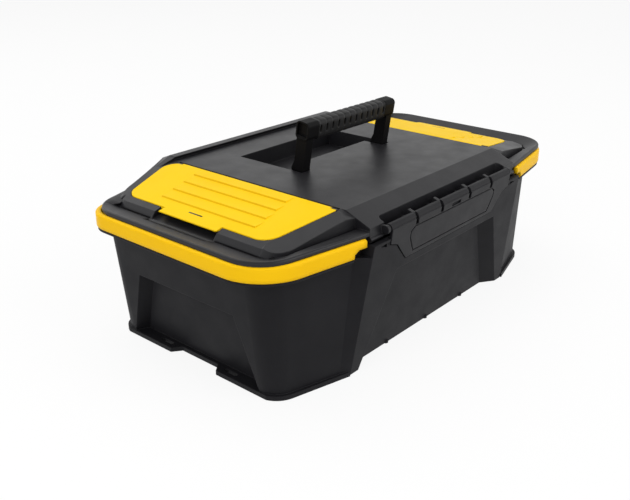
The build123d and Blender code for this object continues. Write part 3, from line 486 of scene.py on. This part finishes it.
@dataclass
class Lid:
    """The lid, its bin dividers and pins.

    Sizes are in millimetres and run outwards from the middle; turns and creases are in degrees. A point
    that lies within `near` of a height is taken to be at it.
    """

    finishes: Finishes
    near: float = 0.06
    lip_top: float = 159.5
    groove_end: float = 250.0
    groove_front: Tuple[float, float] = (138.5, 124.5)
    groove_span: Tuple[float, float] = (148.0, 258.5)
    groove_rear: float = 126.0
    groove_margin: float = 1.0
    groove_floor: float = 153.4
    groove_below: float = 1.8
    floor_from: float = 229.0
    pocket_from: float = 257.0
    pocket_below: float = 0.1
    crease_turn: Tuple[float, float] = (222.0, 248.0)
    crease_end: float = 152.8
    crease_front: float = 157.6
    crease_rear: Tuple[float, float] = (107.0, 124.0)
    filled: float = 158.7
    ridge: float = 274.4
    bevel_from: float = 144.5
    bevel_least: float = 0.3
    bevel_near: float = 0.12
    bevel_edge: Tuple[Tuple[float, float], Tuple[float, float]] = ((148.2, 115.8), (232.0, 98.8))
    bevel_low: Tuple[float, float, float] = (190.0, 125.0, 5.5)
    bevel_keep: float = 0.5
    rim_above: float = 179.5
    rim_front: float = 130.0
    rim_middle: float = 139.0
    rim_widen: Tuple[float, float] = (3.0, 2.6)
    rim_sink: float = 0.8
    lip_corner: Tuple[float, float] = (236.6, 84.2)
    lip_radius: float = 40.0
    lip_turn: float = 72.6
    bead_start: float = 0.6
    bead_grown: float = 0.35
    bead_least: float = 0.05
    bead_run: float = 50.0
    bead_steps: Tuple[int, int] = (40, 12)
    bead: Tuple[Tuple[float, float], ...] = (
        (0.06, 154.95),
        (0.06, 157.3),
        (-0.5, 158.6),
        (-1.4, 159.3),
        (-2.4, 159.54),
        (-9.0, 158.1),
        (-15.0, 156.3),
        (-15.0, 154.95),
    )
    bead_inner: float = -2.4
    bead_crease: float = 40.0
    ramp_ends: Tuple[float, float] = (143.6, 169.0)
    ramp: Tuple[Tuple[float, float, float, float], ...] = (
        (137.4, 170.0, 0.0, 0.0),
        (134.2, 178.9, 8.7, -3.0),
        (144.3, 179.1, 8.9, 1.6),
        (156.1, 174.3, 6.5, 9.5),
        (153.5, 166.0, 0.0, 8.0),
    )
    ramp_rings: int = 9
    ramp_crease: float = 15.0

    def sink_lip(self, points: np.ndarray, moved: np.ndarray) -> None:
        """Lets the lip fall from its outer ridge to a low crease at the foot of the raised frame.

        Points at the lip's height on its inner edge go down to a crease that is deep at the ends and
        shallow along the front; points between it and the ridge follow the slope between the two. The
        groove's floor goes down with it. Towards the rear corner the crease runs out: the floor rises
        there to the lip.

        Args:
            points: places of the lid's points.
            moved: their new places, changed here.
        """
        out, y, z = np.abs(points[:, 0]), points[:, 1], points[:, 2]
        (front_middle, front_end), (span_start, span_end) = self.groove_front, self.groove_span
        front = front_middle + (front_end - front_middle) * (out - SLOPE_START) / (self.groove_end - SLOPE_START)
        inside = (out > span_start) & (out < span_end) & (-y < front + self.groove_margin) & (y < self.groove_rear)
        turn_start, turn_end = self.crease_turn
        share = np.clip((out - turn_start) / (turn_end - turn_start), 0.0, 1.0)
        crease = self.crease_front + (self.crease_end - self.crease_front) * smooth(share)
        rear = np.clip((y - self.crease_rear[0]) / (self.crease_rear[1] - self.crease_rear[0]), 0.0, 1.0)
        along = np.clip((out - self.groove_end) / (self.ridge - self.groove_end), 0.0, 1.0)
        slope = crease + (self.lip_top - crease) * np.maximum(along, rear)
        level = np.abs(z - self.lip_top) < self.near
        edge = inside & level & ((out > turn_start) | (-y > front - self.groove_margin))
        moved[edge, 2] = slope[edge]
        floor = inside & (np.abs(z - self.groove_floor) < self.near) & (out > self.floor_from)
        sunk = np.minimum(z, crease - self.groove_below)
        moved[floor, 2] = (sunk + (self.filled - sunk) * rear)[floor]
        pocket = floor & (out > self.pocket_from)
        moved[pocket, 2] = slope[pocket] - self.pocket_below

    def flatten_bevel(self, points: np.ndarray, moved: np.ndarray) -> None:
        """Lets the frame's front bevel keep only part of its fall below the sloping top.

        The fall grows evenly with the distance in front of the bevel's upper edge, a straight line.

        Args:
            points: places of the lid's points.
            moved: their new places, changed here.
        """
        out, y, z = np.abs(points[:, 0]), points[:, 1], points[:, 2]
        (near_x, near_y), (far_x, far_y) = self.bevel_edge
        low_x, low_y, low_drop = self.bevel_low
        lean = (far_y - near_y) / (far_x - near_x)
        drop = (-y - near_y - lean * (out - near_x)) * low_drop / (low_y - near_y - lean * (low_x - near_x))
        top = sloping_top(out)
        on_face = np.abs(top - drop - z) < self.bevel_near
        bevel = on_face & (out > self.bevel_from) & (drop > self.bevel_least)
        moved[bevel, 2] = (top - drop * self.bevel_keep)[bevel]

    def widen_rim(self, points: np.ndarray, moved: np.ndarray) -> None:
        """Widens the flat of the rear rim to both sides and sinks it a little.

        Args:
            points: places of the lid's points.
            moved: their new places, changed here.
        """
        y = points[:, 1]
        rim = (points[:, 2] > self.rim_above) & (y > self.rim_front)
        moved[rim & (y < self.rim_middle), 1] -= self.rim_widen[0]
        moved[rim & (y > self.rim_middle), 1] += self.rim_widen[1]
        moved[rim, 2] -= self.rim_sink

    def moulded(self, points: np.ndarray) -> np.ndarray:
        """Moves the points of the lip, the front bevel and the rear rim.

        Args:
            points: places of the lid's points.

        Returns:
            Their new places.
        """
        moved = points.copy()
        self.sink_lip(points, moved)
        self.flatten_bevel(points, moved)
        self.widen_rim(points, moved)
        return moved

    def rear_bead(self, side: float, name: str) -> None:
        """Carries the lip's ridge round the rear corner, where the frame's wall meets it.

        The path is an arc round the corner and a straight run along the rear; the profile is set off
        from it along the path's outward normal, and its inner side grows along the arc.

        Args:
            side: 1 for the right end, -1 for the left.
            name: the piece's name.
        """
        turn = math.radians(self.lip_turn)
        bend, run = self.bead_steps
        angle = np.concatenate([np.linspace(self.bead_start * turn, turn, bend), np.full(run, turn)])
        after = np.concatenate([np.zeros(bend), np.linspace(0.0, self.bead_run, run + 1)[1:]])
        normal = np.stack([np.cos(angle), np.sin(angle)], -1)
        along = np.stack([-normal[:, 1], normal[:, 0]], -1)
        path = np.array(self.lip_corner) + self.lip_radius * normal + along * after[:, None]
        away, height = np.array(self.bead).T
        grow = np.clip((angle / turn - self.bead_start) / self.bead_grown, self.bead_least, 1.0)[:, None]
        away = np.where(away < self.bead_inner, self.bead_inner + (away - self.bead_inner) * grow, away)
        flat = path[:, None, :] + normal[:, None, :] * away[:, :, None]
        points = np.concatenate([flat, np.broadcast_to(height[None, :, None], (*flat.shape[:2], 1))], -1)
        points = points.reshape(-1, 3) * [side, 1.0, 1.0]
        faces = tube_faces(len(path), len(height), side < 0.0)
        piece = add_piece(name, points, faces, self.finishes.lid, Body.LID)
        mark_creases(piece.data, self.bead_crease)

    def rear_ramp(self, side: float, name: str) -> None:
        """Lets the rear rim's end run down to the frame: its section sinks and shifts evenly along X.

        Args:
            side: 1 for the right end, -1 for the left.
            name: the piece's name.
        """
        y, z, sink, back = np.array(self.ramp).T
        start, end = self.ramp_ends
        share = np.linspace(0.0, 1.0, self.ramp_rings)[:, None]
        x = np.broadcast_to(start + (end - start) * share, (self.ramp_rings, len(y)))
        points = np.stack([side * x, y - back * share, z - sink * share], -1).reshape(-1, 3)
        faces = tube_faces(self.ramp_rings, len(y), side < 0.0)
        piece = add_piece(name, points, faces, self.finishes.lid, Body.LID)
        mark_creases(piece.data, self.ramp_crease)

    def build(self) -> None:
        """Makes the reshaped lid, its rear beads and the ends of its rear rim."""
        reshape("lid", "moulded_lid", self.moulded, self.finishes.lid, Body.LID)
        for side, end in ((-1.0, "left"), (1.0, "right")):
            self.rear_bead(side, "rear_bead_" + end)
            self.rear_ramp(side, "rear_ramp_" + end)

    def dress(self) -> None:
        """Gives the lid's pieces their finishes."""
        dress(["bin_divider_left", "bin_divider_right"], self.finishes.lid)
        dress(["organizer_pins_left", "organizer_pins_right"], self.finishes.pin_y)


@dataclass
class Flap:
    """One yellow organizer flap with stepped ribs whose step faces carry painted shade, and a finger slot filled
    with a dark strip as painted shade.
    """

    finishes: Finishes
    side: float
    body: Body
    node: str
    name: str
    proud: float = 0.6
    near: float = 0.1
    crest_over: float = 0.5
    crest_from: float = 158.0
    rise: float = 0.35
    shift: float = 1.5
    ribs: Tuple[float, float, int] = (160.5, 18.2, 4)
    foot: float = 2.5
    tab_from: float = 231.9
    tab_edge: float = 241.0
    tab_under: float = -1.0
    tab_rear: Tuple[float, float] = (53.0, 48.0)
    tab_thick: float = 1.3
    slot_place: Tuple[float, float] = (227.0, 6.5)
    slot_half: Tuple[float, float] = (0.95, 10.0)
    slot_drop: float = 0.9
    slot_proud: float = 0.04
    slot_crease: float = 30.0

    def height(self, out: np.ndarray) -> np.ndarray:
        """Height of the flap's plain top at a distance from the middle: a little over the lid's slope."""
        return sloping_top(out) + self.proud

    def stepped(self, points: np.ndarray) -> np.ndarray:
        """Raises each rib's crest and moves it out over its foot, so that the rib ends in a step.

        The finger tab is thinned at its edge, and its rear side moves in to clear the pocket.

        Args:
            points: places of the flap's points in millimetres.

        Returns:
            Their new places.
        """
        out = np.abs(points[:, 0])
        over = points[:, 2] - self.height(out)
        moved = points.copy()
        crest = (over > self.crest_over) & (out > self.crest_from)
        moved[crest, 2] += self.rise
        moved[crest, 0] += self.side * self.shift
        tab = (np.abs(out - self.tab_edge) < self.near) & (over < self.tab_under)
        moved[tab, 2] = (self.height(out) - self.tab_thick)[tab]
        old_rear, new_rear = self.tab_rear
        moved[(out > self.tab_from) & (np.abs(points[:, 1] - old_rear) < self.near), 1] = new_rear
        return moved

    def shade_steps(self, piece: bpy.types.Object) -> None:
        """Gives the step faces at the ribs' feet a darker yellow: painted shade standing for the shadow below each
        rib's step.

        A step face is one whose corners all lie between a rib's crest and its foot.

        Args:
            piece: the reshaped flap.
        """
        mesh = piece.data
        mesh.materials.append(self.finishes.step)
        points = places(mesh)
        out = np.abs(points[:, 0])
        over = points[:, 2] - self.height(out)
        start, pitch, count = self.ribs
        rib = np.clip(np.round((out - start) / pitch), 0, count - 1)
        aside = out - start - pitch * rib
        between = (aside > self.shift - self.near) & (aside < self.foot + self.near)
        corner = between & (over > -self.near) & (out > self.crest_from)
        used = np.empty(len(mesh.loops), np.int32)
        mesh.loops.foreach_get("vertex_index", used)
        painted_shade_faces = corner[used].reshape(-1, 3).all(1)
        mesh.polygons.foreach_set("material_index", painted_shade_faces.astype(np.int32))
        log.info("%d step faces on %s", int(painted_shade_faces.sum()), piece.name)

    def fill_slot_shade(self) -> None:
        """Fills the finger slot with a dark strip, a box that follows the flap's slope: painted shade standing for
        the dark depth of the slot.
        """
        x = self.slot_place[0] + self.slot_half[0] * np.array([-1.0, 1.0, 1.0, -1.0])
        y = self.slot_place[1] + self.slot_half[1] * np.array([-1.0, -1.0, 1.0, 1.0])
        top = self.height(x) + self.slot_proud
        low = np.stack([self.side * x, y, top - self.slot_drop], -1)
        high = np.stack([self.side * x, y, top], -1)
        faces = np.array([[3, 2, 1, 0], [4, 5, 6, 7], [0, 1, 5, 4], [1, 2, 6, 5], [2, 3, 7, 6], [3, 0, 4, 7]])
        faces = faces if self.side > 0.0 else faces[:, ::-1]
        points = np.concatenate([low, high])
        piece = add_piece(self.name + "_slot", points, faces, self.finishes.lid, self.body)
        mark_creases(piece.data, self.slot_crease)

    def build(self) -> None:
        """Makes the flap and its slot."""
        piece = reshape(self.node, self.name, self.stepped, self.finishes.flap, self.body)
        self.shade_steps(piece)
        self.fill_slot_shade()


@dataclass
class FrontLatch:
    """The wide latch on the front and its rod."""

    finishes: Finishes

    def dress(self) -> None:
        """Gives the latch and its rod their finishes."""
        dress(["front_latch"], self.finishes.latch)
        dress(["latch_pin"], self.finishes.pin_x)


@dataclass
class CarryHandle:
    """The folding handle with a grip of soft finger ribs."""

    finishes: Finishes
    pivot: Tuple[float, float] = (-1.0, 165.5)
    lean: float = 8.5
    half_length: float = 62.0
    middle: float = 56.85
    half_depth: float = 8.9
    half_height: float = 11.05
    squareness: float = 4.2
    slots: int = 12
    pitch: float = 10.6
    slot_middle: float = 58.4
    slot_half: Tuple[float, float] = (1.3, 4.3)
    slot_depth: float = 3.0
    slot_blend: float = 0.5
    wave_depth: float = 0.55
    rings: int = 497
    ring_points: int = 112

    def section(self) -> Tuple[np.ndarray, np.ndarray]:
        """Outline of the grip across its length.

        Returns:
            Depth and height of points on the superellipse |y/a|^n + |z/b|^n = 1, an equal arc apart.
        """
        angle = np.linspace(0.0, 2.0 * math.pi, 4001)
        power = 2.0 / self.squareness
        y = self.half_depth * np.sign(np.cos(angle)) * np.abs(np.cos(angle)) ** power
        z = self.half_height * np.sign(np.sin(angle)) * np.abs(np.sin(angle)) ** power
        arc = np.concatenate([[0.0], np.cumsum(np.hypot(np.diff(y), np.diff(z)))])
        stops = np.linspace(0.0, arc[-1], self.ring_points, endpoint=False)
        return np.interp(stops, arc, y), np.interp(stops, arc, z)

    def grip(self) -> None:
        """Builds the grip: a rounded-square section carried along X, with finger ribs and pockets.

        The ribs are a raised cosine of the distance to the nearest pocket, cubed, which draws the
        section in most over the top. A pocket is a stadium on the front and rear faces: its edge is
        the distance to an upright centre line less the half width, and a smooth step across that
        edge drops the face to the pocket's floor.
        """
        x = np.linspace(-self.half_length, self.half_length, self.rings)[:, None]
        flat_y, flat_z = (part[None, :] for part in self.section())
        aside = np.abs(np.mod(x / self.pitch + self.slots / 2.0, 1.0) - 0.5) * self.pitch
        wave = (0.5 + 0.5 * np.cos(2.0 * math.pi * aside / self.pitch)) ** 3
        rise = np.clip((flat_z / self.half_height + 1.0) / 1.6, 0.3, 1.0)
        shrink = self.wave_depth * wave * rise / self.half_height
        half_width, half_tall = self.slot_half
        off = np.maximum(np.abs(flat_z + self.middle - self.slot_middle) - (half_tall - half_width), 0.0)
        past = np.hypot(aside, off) - half_width
        step = np.clip(0.5 - past / self.slot_blend, 0.0, 1.0)
        pocket = self.slot_depth * smooth(step)
        y = flat_y * (1.0 - shrink) - np.sign(flat_y) * pocket
        z = self.middle + flat_z * (1.0 - shrink)
        tilt = math.radians(self.lean)
        points = np.stack(
            [
                np.broadcast_to(x, y.shape),
                self.pivot[0] + y * math.cos(tilt) - z * math.sin(tilt),
                self.pivot[1] + y * math.sin(tilt) + z * math.cos(tilt),
            ],
            -1,
        ).reshape(-1, 3)
        faces = tube_faces(self.rings, self.ring_points)
        grip = add_piece("ribbed_grip", points, faces, self.finishes.grip, Body.HANDLE)
        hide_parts("handle_grip")

    def dress(self) -> None:
        """Gives the legs and pivot pins their finishes."""
        dress(["handle_frame"], self.finishes.handle)
        dress(["handle_pin_left", "handle_pin_right"], self.finishes.pin_x)


@dataclass
class LiftOutTray:
    """The tray inside the tub with its loose dividers."""

    finishes: Finishes

    def dress(self) -> None:
        """Gives the tray and dividers their finish."""
        dress(["tray", "tray_dividers"], self.finishes.tray)


@dataclass
class Studio:
    """Camera, soft lamps, white surround and floor."""

    lens: float = 46.54
    sensor: float = 36.0
    eye: Tuple[float, float, float] = (-0.736597, -0.590512, 0.456638)
    azimuth: float = -49.3931
    elevation: float = 23.2796
    sky: float = 0.48
    ceiling: float = 0.5
    wall: Tuple[float, float] = (0.5, 0.8)
    glow: float = 0.88
    floor_size: float = 12.0
    floor_tones: Tuple[float, float] = (0.6, 0.95)
    aim: Tuple[float, float, float] = (0.0, 0.0, 0.1)
    lamps: List[Tuple[str, Tuple[float, float, float], float, float]] = field(
        default_factory=lambda: [
            ("over_lamp", (0.2, 0.6, 2.2), 2.2, 13.0),
            ("left_lamp", (-2.0, -0.3, 1.2), 1.6, 19.0),
            ("front_lamp", (0.5, -2.1, 1.3), 1.8, 24.0),
            ("rear_lamp", (-0.3, 2.2, 1.7), 1.6, 10.0),
        ]
    )

    def camera(self) -> None:
        """Stands the camera where the picture was taken from."""
        turn, rise = math.radians(self.azimuth), math.radians(self.elevation)
        back = Vector((math.sin(turn) * math.cos(rise), -math.cos(turn) * math.cos(rise), math.sin(rise)))
        right = Vector((math.cos(turn), math.sin(turn), 0.0))
        up = back.cross(right)
        data = bpy.data.cameras.new("camera")
        data.lens = self.lens
        data.sensor_width = self.sensor
        data.sensor_fit = "HORIZONTAL"
        camera = bpy.data.objects.new("camera", data)
        camera.matrix_world = Matrix((
            (right.x, up.x, back.x, self.eye[0]),
            (right.y, up.y, back.y, self.eye[1]),
            (right.z, up.z, back.z, self.eye[2]),
            (0.0, 0.0, 0.0, 1.0),
        ))
        bpy.context.scene.collection.objects.link(camera)
        bpy.context.scene.camera = camera

    def light(self) -> None:
        """Hangs the soft square lamps, each turned to the box."""
        for name, place, size, power in self.lamps:
            data = bpy.data.lights.new(name, "AREA")
            data.size = size
            data.energy = power
            lamp = bpy.data.objects.new(name, data)
            lamp.location = place
            lamp.rotation_mode = "QUATERNION"
            toward = Vector(self.aim) - Vector(place)
            lamp.rotation_quaternion = toward.to_track_quat("-Z", "Y")
            lamp.visible_glossy = name != "left_lamp"
            bpy.context.scene.collection.objects.link(lamp)

    def seen(self, graph: Graph) -> bpy.types.NodeSocket:
        """Picks the rays that show the surround: camera, glossy and transmission rays.

        Args:
            graph: the node tree.

        Returns:
            A socket that is 1 for these rays.
        """
        path = graph.add("ShaderNodeLightPath")
        first = graph.add("ShaderNodeMath", operation="MAXIMUM")
        graph.link(path.outputs["Is Camera Ray"], first.inputs[0])
        graph.link(path.outputs["Is Glossy Ray"], first.inputs[1])
        second = graph.add("ShaderNodeMath", operation="MAXIMUM")
        graph.link(first.outputs[0], second.inputs[0])
        graph.link(path.outputs["Is Transmission Ray"], second.inputs[1])
        return second.outputs[0]

    def surround(self) -> None:
        """Makes a world that is white to look at, darker overhead, and lights the box softly."""
        world = bpy.data.worlds.new("surround")
        bpy.context.scene.world = world
        world.use_nodes = True
        graph = Graph(world.node_tree)
        toward = graph.add("ShaderNodeTexCoord").outputs["Generated"]
        height = graph.add("ShaderNodeSeparateXYZ", {"Vector": toward}).outputs["Z"]
        wall = graph.spread(height, self.wall, (1.0, self.ceiling))
        level = graph.add("ShaderNodeMix", data_type="FLOAT")
        graph.link(self.seen(graph), level.inputs[0])
        level.inputs[2].default_value = self.sky
        graph.link(wall, level.inputs[3])
        sky = graph.add("ShaderNodeBackground", {"Strength": level.outputs[0]})
        output = graph.add("ShaderNodeOutputWorld")
        graph.link(sky.outputs[0], output.inputs["Surface"])
        sky.inputs["Color"].default_value = (1.0, 1.0, 1.0, 1.0)

    def floor(self) -> None:
        """Lays a floor that looks white, part of it its own glow, and keeps the box's shadow."""
        half = self.floor_size / 2.0
        corners = np.array([[-half, -half, 0.0], [half, -half, 0.0], [half, half, 0.0], [-half, half, 0.0]])
        mesh = bpy.data.meshes.new("floor")
        mesh.from_pydata(corners.tolist(), [], [[0, 1, 2, 3]])
        made = bpy.data.materials.new("pale_floor")
        made.use_nodes = True
        graph = Graph(made.node_tree)
        shown = self.seen(graph)
        tone = graph.blend(shown, *((level, level, level) for level in self.floor_tones))
        matt = graph.add("ShaderNodeBsdfDiffuse", {"Color": tone})
        white = graph.add("ShaderNodeEmission")
        mixed = graph.add("ShaderNodeMixShader", {"Fac": graph.spread(shown, (0.0, 1.0), (0.0, self.glow))})
        graph.link(matt.outputs[0], mixed.inputs[1])
        graph.link(white.outputs[0], mixed.inputs[2])
        output = graph.add("ShaderNodeOutputMaterial")
        graph.link(mixed.outputs[0], output.inputs["Surface"])
        mesh.materials.append(made)
        floor = bpy.data.objects.new("floor", mesh)
        bpy.context.scene.collection.objects.link(floor)

    def build(self) -> None:
        """Sets up the whole studio."""
        bpy.context.scene.view_settings.view_transform = "Standard"
        self.camera()
        self.light()
        self.surround()
        self.floor()


def main() -> None:
    """Builds and dresses every sub-assembly, then the studio."""
    logging.basicConfig(level=logging.INFO)
    finishes = Finishes()
    Tub(finishes).dress()
    lid = Lid(finishes)
    lid.build()
    lid.dress()
    Flap(finishes, -1.0, Body.LEFT_FLAP, "organizer_lid_left", "stepped_flap_left").build()
    Flap(finishes, 1.0, Body.RIGHT_FLAP, "organizer_lid_right", "stepped_flap_right").build()
    FrontLatch(finishes).dress()
    handle = CarryHandle(finishes)
    handle.grip()
    handle.dress()
    LiftOutTray(finishes).dress()
    Studio().build()


if __name__ == "__main__":
    main()
